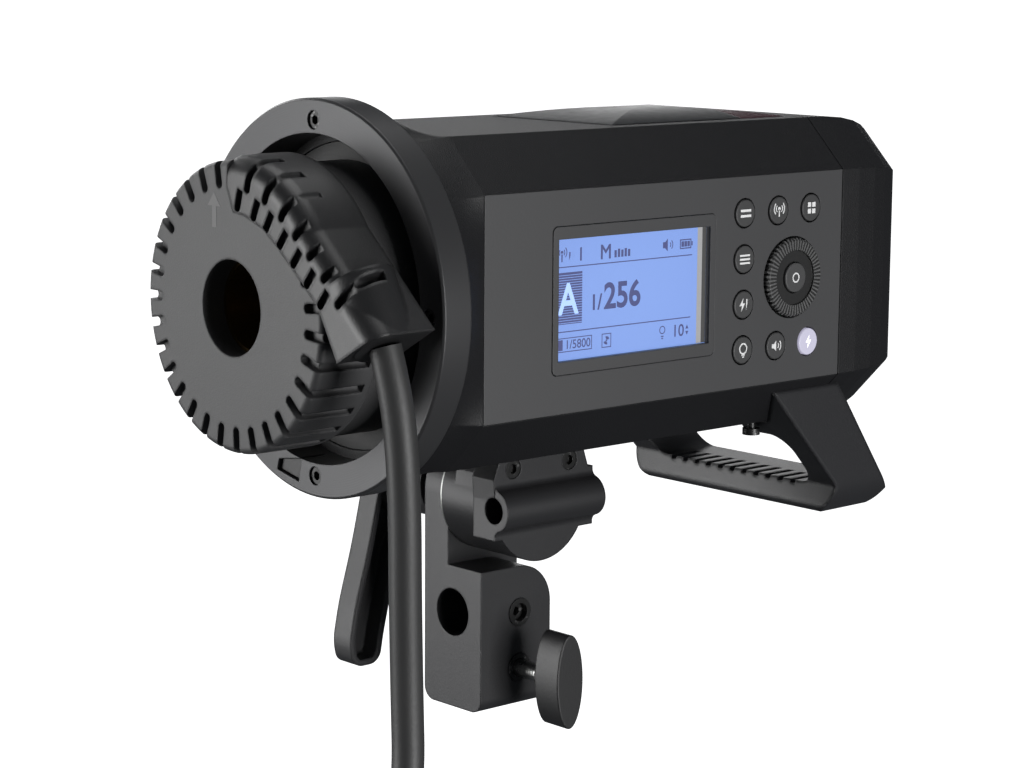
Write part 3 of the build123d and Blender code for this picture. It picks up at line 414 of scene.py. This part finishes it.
dark_dots = Finish("lcd_dark", Roughness=0.6, Emission_Strength=0.5)
dark_dots.colour(dark_dots.blend(dark_dots.noise(900), (0.008, 0.010, 0.05, 1), (0.012, 0.015, 0.07, 1)))
dark_dots.feed(dark_dots.shader.inputs["Emission Color"],
               dark_dots.blend(dark_dots.noise(900), (0.03, 0.05, 0.26, 1), (0.035, 0.06, 0.30, 1)))
pale_dots = Finish("lcd_pale", Roughness=0.6, Emission_Strength=0.9)
pale_dots.colour(pale_dots.blend(pale_dots.noise(900), (0.2, 0.25, 0.5, 1), (0.22, 0.28, 0.55, 1)))
pale_dots.feed(pale_dots.shader.inputs["Emission Color"],
               pale_dots.blend(pale_dots.noise(900), (0.30, 0.50, 0.95, 1), (0.34, 0.55, 1.0, 1)))
# The grey strip at the screen's far edge glows by its emission: painted light on the frame strip.
edge_grey_painted_glow = Finish("lcd_edge_painted_glow", Roughness=0.5, Emission_Color=grey(0.19), Emission_Strength=1.0)
edge_grey_painted_glow.colour(edge_grey_painted_glow.blend(edge_grey_painted_glow.noise(600), grey(0.15, 1.05), grey(0.18, 1.05)))
edge_black = Finish("lcd_side", Roughness=0.5)
edge_black.colour(edge_black.blend(edge_black.noise(600), grey(0.015), grey(0.02)))
lcd_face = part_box("lcd_module")[1][0]
layer_gap = 0.00003
dot_thickness = 0.00002


def on_screen(name, outlines, finish=dark_dots, layer=1):
    """Figures on the screen, at (distance behind the ring, height above the lamp axis)."""
    return flat_shape(name, outlines, dot_thickness, finish, "head", (0, 1, 0), (0, 0, 1),
                      (lcd_face + layer_gap * layer, ring_front, lamp_axis))


def screen_text(name, words, distance, height, size, finish=dark_dots, layer=1, stretch=1.0, bold=0.0):
    """A figure on the screen, its strokes thickened by bold, at the place of its lower left corner."""
    line = bpy.data.curves.new(name, "FONT")
    line.body = words
    line.size = size / 1000
    line.extrude = dot_thickness / 2
    line.bevel_depth = bold / 1000
    line.bevel_resolution = 0
    piece = bpy.data.objects.new(name, line)
    thickness = line.extrude / (line.extrude + line.bevel_depth)
    return set_flat(piece, finish, "head", (0, stretch, 0), (0, 0, 1),
                      (lcd_face + layer_gap * layer, ring_front + distance / 1000, lamp_axis + height / 1000),
                      thickness)


on_screen("screen_edge", [rectangle(118.2, -18.7, 120.4, 19.8)], edge_grey_painted_glow)
on_screen("screen_side", [rectangle(120.4, -18.7, 122.3, 19.8)], edge_black)
on_screen("screen_rules", [rectangle(55.4, 10.75, 115.7, 11.1), rectangle(55.4, -9.85, 115.4, -9.5)])
on_screen("group_block", [rectangle(55.0, -7.3, 66.4, 9.2)])
on_screen("group_lines", [rectangle(55.0, -7.0 + 0.8 * step, 66.4, -6.8 + 0.8 * step) for step in range(20)],
          lcd, 2)
screen_text("group_letter", "A", 56.2, -4.0, 14.0, pale_dots, 3, 0.9, 0.25)
screen_text("power_small", "1/", 69.9, -3.6, 7.0, stretch=0.95, bold=0.14)
screen_text("power_large", "256", 75.9, -3.6, 11.6, stretch=0.95, bold=0.28)
screen_text("channel_number", "1", 64.2, 12.6, 6.0, bold=0.08)
on_screen("channel_aerial", [rectangle(57.3, 12.6, 57.8, 15.4),
                             *ring_shape(0.3, 0.6, (57.55, 15.6))[:1],
                             arc_band(1.2, 0.35, -45, 45, (57.55, 15.6)),
                             arc_band(1.2, 0.35, 135, 225, (57.55, 15.6)),
                             arc_band(2.1, 0.35, -45, 45, (57.55, 15.6)),
                             arc_band(2.1, 0.35, 135, 225, (57.55, 15.6)),
                             rectangle(60.6, 12.9, 61.2, 15.6), rectangle(62.0, 12.9, 62.6, 15.6),
                             rectangle(61.2, 14.0, 62.0, 14.5)])
screen_text("heading_letter", "M", 74.0, 12.4, 6.6, bold=0.1)
on_screen("heading_bars", [rectangle(80.4 + 1.5 * step, 12.5, 81.4 + 1.5 * step, 14.8 + 0.4 * (step % 2))
                           for step in range(5)])
on_screen("screen_speaker", [[(102.2, 13.9), (103.2, 13.9), (104.4, 12.8), (104.4, 17.0), (103.2, 15.9),
                              (102.2, 15.9)], arc_band(1.0, 0.35, -45, 45, (104.8, 14.9)),
                             arc_band(1.9, 0.35, -45, 45, (104.8, 14.9))])
on_screen("battery_sign", [rectangle(110.0, 13.1, 115.3, 16.3), rectangle(110.4, 13.5, 114.9, 15.9),
                           rectangle(110.7, 13.8, 111.9, 15.6), rectangle(112.1, 13.8, 113.3, 15.6),
                           rectangle(113.5, 13.8, 114.6, 15.6), rectangle(115.4, 14.0, 115.9, 15.4)])
on_screen("duration_box", [rectangle(55.0, -16.2, 70.9, -11.6), rectangle(55.3, -15.9, 70.6, -11.9),
                           rectangle(55.6, -15.6, 58.2, -12.2)])
screen_text("duration", "1/5800", 59.2, -15.2, 4.0, bold=0.04)
on_screen("fan_sign", [rectangle(75.2, -16.3, 79.4, -11.7), rectangle(75.5, -16.0, 79.1, -12.0),
                       arc_band(0.9, 0.9, 20, 110, (77.3, -14.0)),
                       arc_band(0.9, 0.9, 200, 290, (77.3, -14.0)),
                       rectangle(77.0, -14.3, 77.6, -13.7)])
on_screen("lamp_sign", [*ring_shape(1.2, 0.35, (102.5, -12.9)), rectangle(101.9, -15.2, 103.1, -14.8),
                        rectangle(102.1, -15.9, 102.9, -15.5)])
screen_text("lamp_level", "10", 107.0, -15.6, 5.6, bold=0.06)
on_screen("level_arrows", [[(113.2, -13.4), (114.6, -13.4), (113.9, -12.1)],
                           [(113.2, -14.2), (114.6, -14.2), (113.9, -15.5)]])

# ---- Roof receiver --------------------------------------------------------------------
# The dark lens over the radio and the optical cell: smoked acrylic in front, and deep red
# where it has to let infrared through.
satin("dome_smoke", grey(0.004, 1.1), grey(0.007, 1.1), 0.22, 300, 0.00001, 0.0006, ["receiver_dome"])
satin("receiver_red", (0.05, 0.002, 0.007, 1), (0.08, 0.004, 0.012, 1), 0.10, 300, 0.00001, 0.0006,
      ["receiver_window"], Coat_Weight=0.5)

# ---- Extension plug -------------------------------------------------------------------
# A moulded drum with cooling slots round its rim, a reflective amber liner in its middle
# hole, and an arrow that shows which way up it goes in.
satin("plug_grey", grey(0.038, 1.03), grey(0.048, 1.03), 0.40, 1900, 0.00008, 0.0012, ["plug_body"])
liner = Finish("liner_amber", Metallic=0.6)
streaks_and_painted_glint = liner.noise(60, 3.0, (1, 0.2, 1))
# The liner's colour runs in streaks from near black to amber: painted glints over painted shade in the hole.
# The same streaks vary its roughness and bump.
liner.colour(liner.blend(streaks_and_painted_glint, (0.01, 0.007, 0.003, 1), (0.16, 0.10, 0.03, 1)))
liner.rough(0.14 + streaks_and_painted_glint * 0.2)
liner.relief(streaks_and_painted_glint, 0.0001)
liner.paint("plug_liner")
engraved = Finish("engraved_sign", Roughness=0.45)
engraved.colour(engraved.blend(engraved.noise(900), grey(0.075), grey(0.09)))
plug_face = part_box("plug_body")[0][1]
flat_shape("up_arrow", [[(-3.4, 31.0), (0.0, 35.2), (3.4, 31.0), (1.1, 31.0), (1.1, 24.4), (-1.1, 24.4),
                         (-1.1, 31.0)]], 0.00006, engraved, "plug", (1, 0, 0), (0, 0, 1),
           (-0.0085, plug_face - ink_lift, lamp_axis))
satin("boot_grey", grey(0.011, 1.05), grey(0.017, 1.05), 0.30, 1700, 0.00006, 0.0016,
      ["strain_relief_boot"])

# ---- Cord -----------------------------------------------------------------------------
# A 10 mm round lead in matte black rubber. It hangs from the boot, and its spare length is
# put away in a tied coil of five turns that ends in the connector for the remote head.
cord_diameter = 0.010
cord_route = [(61.4, -21.0, -6.0), (64.6, -20.2, -17.0), (66.6, -19.0, -33.0), (67.0, -18.0, -55.0),
              (66.0, -17.0, -82.0), (65.6, -16.0, -112.0), (67.0, -16.4, -136.0), (71.0, -23.0, -152.0),
              (74.5, -38.0, -164.0), (75.0, -58.0, -180.5)]
tail_route = [(65.0, -75.0, -226.0), (65.0, -75.6, -239.0), (65.0, -75.0, -253.0), (65.0, -73.6, -268.0)]
coil_centre = (65.0, -15.0, -226.0)
coil_slots = [(10.3, 60.3), (10.3, 50.0), (0.0, 50.0), (-10.3, 50.0), (-10.3, 60.3), (0.0, 60.3)]


def eased(angle, start, end, low, high):
    share = min(max((angle - start) / (end - start), 0.0), 1.0)
    return low + (high - low) * share


def coil_turns():
    """The turns lie in two layers of three; each (side, radius) slot takes one turn."""
    points = []
    for angle in range(160, 1980, 20):
        turn = (angle - 140) // 360
        side, radius = coil_slots[turn]
        next_side, next_radius = coil_slots[min(turn + 1, 5)]
        within = (angle - 140) % 360
        side = eased(within, 280, 320, side, next_side)
        radius = eased(within, 320, 360, radius, next_radius) * 1.01
        swing = math.radians(angle)
        points.append((coil_centre[0] + side, coil_centre[1] + radius * math.cos(swing),
                       coil_centre[2] + radius * math.sin(swing)))
    return points


cord_points = cord_route + coil_turns() + tail_route
line = bpy.data.curves.new("lead", "CURVE")
line.dimensions = "3D"
spline = line.splines.new("NURBS")
spline.points.add(len(cord_points) - 1)
for point, (across, along, up) in zip(spline.points, cord_points):
    point.co = (across / 1000, ring_front + along / 1000, lamp_axis + up / 1000, 1)
spline.order_u = 3
spline.use_endpoint_u = True
spline.resolution_u = 6
line.bevel_depth = cord_diameter / 2
line.bevel_resolution = 5
line.use_fill_caps = True
lead = bpy.data.objects.new("lead", line)
bpy.context.scene.collection.objects.link(lead)
rubber = satin("cord_rubber", grey(0.022), grey(0.034), 0.42, 1200, 0.00006)
line.materials.append(rubber.material)
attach(lead, "plug")
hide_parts("cable", "cable_coil", "cable_tail")

# ---- Tie and connector ----------------------------------------------------------------
# A woven hook-and-loop strap holds the coil, and the lead ends in a moulded connector with
# a locking ring.
strap = Finish("tie_strap")
weave = strap.node("TexVoronoi", None, {"Vector": strap.place, "Scale": 1400.0})
strap.colour(strap.blend(weave, grey(0.012), grey(0.035)))
strap.rough(0.8 + weave * 0.15)
strap.relief(weave, 0.0004)
strap.paint("cable_tie")
satin("connector_black", grey(0.02), grey(0.03), 0.4, 1300, 0.00006, 0.0008, ["cable_connector"])

# ---- Camera ---------------------------------------------------------------------------
# A long lens looks down a little on the head from its panel side, as a product is shot in
# a studio. The view is level to within half a degree.
heading = math.radians(48.28)
downward = math.radians(9.2005)
tilt = math.radians(0.393)
bpy.ops.object.camera_add()
camera = bpy.context.object
camera.data.lens = 95.04
camera.data.sensor_width = 36.0
turn = Matrix.Rotation(heading, 4, "Z") @ Matrix.Rotation(math.pi / 2 - downward, 4, "X")
camera_place = Vector((0.67304, -0.58960, 0.25357))
camera.matrix_world = (Matrix.Translation(camera_place) @ turn
                       @ Matrix.Rotation(tilt, 4, "Z"))
bpy.context.scene.camera = camera

# ---- Studio ---------------------------------------------------------------------------
# A pale paper floor well below the object, under a pale dome. Both are lit evenly and stay
# out of reflections, as flagged paper does, so the object's lower side keeps its darkness.
paper = Finish("paper", Roughness=0.9, Emission_Strength=1.15)
paper.colour(paper.blend(paper.noise(3), grey(0.9), grey(0.92)))
paper.feed(paper.shader.inputs["Emission Color"],
           paper.blend(paper.noise(0.8), (0.97, 0.97, 0.97, 1), (1, 1, 1, 1)))
floor_drop = 0.45
floor_level = cad_box[0][2] - floor_drop
bpy.ops.object.select_all(action="DESELECT")
bpy.ops.mesh.primitive_plane_add(size=16.0, location=(0, 0, floor_level))
floor = bpy.context.object
bpy.ops.object.select_all(action="DESELECT")
bpy.ops.mesh.primitive_uv_sphere_add(radius=9.0, segments=48, ring_count=24)
dome = bpy.context.object
bpy.ops.object.shade_smooth()
for backdrop, name in ((floor, "studio_floor"), (dome, "studio_dome")):
    backdrop.name = name
    backdrop.data.materials.append(paper.material)
    backdrop.visible_glossy = False
    backdrop.visible_diffuse = False
    backdrop.visible_transmission = False
    backdrop.visible_shadow = False

room = bpy.data.worlds.new("room")
room.use_nodes = True
room.node_tree.nodes["Background"].inputs["Color"].default_value = (0.86, 0.92, 1.0, 1)
room.node_tree.nodes["Background"].inputs["Strength"].default_value = 0.08
bpy.context.scene.world = room
bpy.context.scene.view_settings.view_transform = "Standard"


def soft_box(name, place, aim, width, height, power):
    bpy.ops.object.light_add(type="AREA", location=place)
    lamp = bpy.context.object
    lamp.name = name
    lamp.data.shape = "RECTANGLE"
    lamp.data.size = width
    lamp.data.size_y = height
    lamp.data.energy = power
    lamp.rotation_euler = (Vector(aim) - Vector(place)).to_track_quat("-Z", "Y").to_euler()


soft_box("top_box", (-0.2, 0.2, 1.5), (0, 0.1, 0.14), 1.0, 1.2, 9)
soft_box("back_box", (-1.7, 1.25, 0.42), (0, 0.05, 0.2), 2.2, 0.5, 7)
soft_box("front_box", (-1.0, -1.4, 0.1), (0, -0.05, 0.12), 0.8, 1.1, 23)
soft_box("far_box", (-1.4, 0.1, 0.5), (0, 0.05, 0.12), 0.9, 0.9, 9)
soft_box("side_box", (1.3, 0.1, 0.0), (0, -0.06, 0.1), 0.6, 0.8, 17)
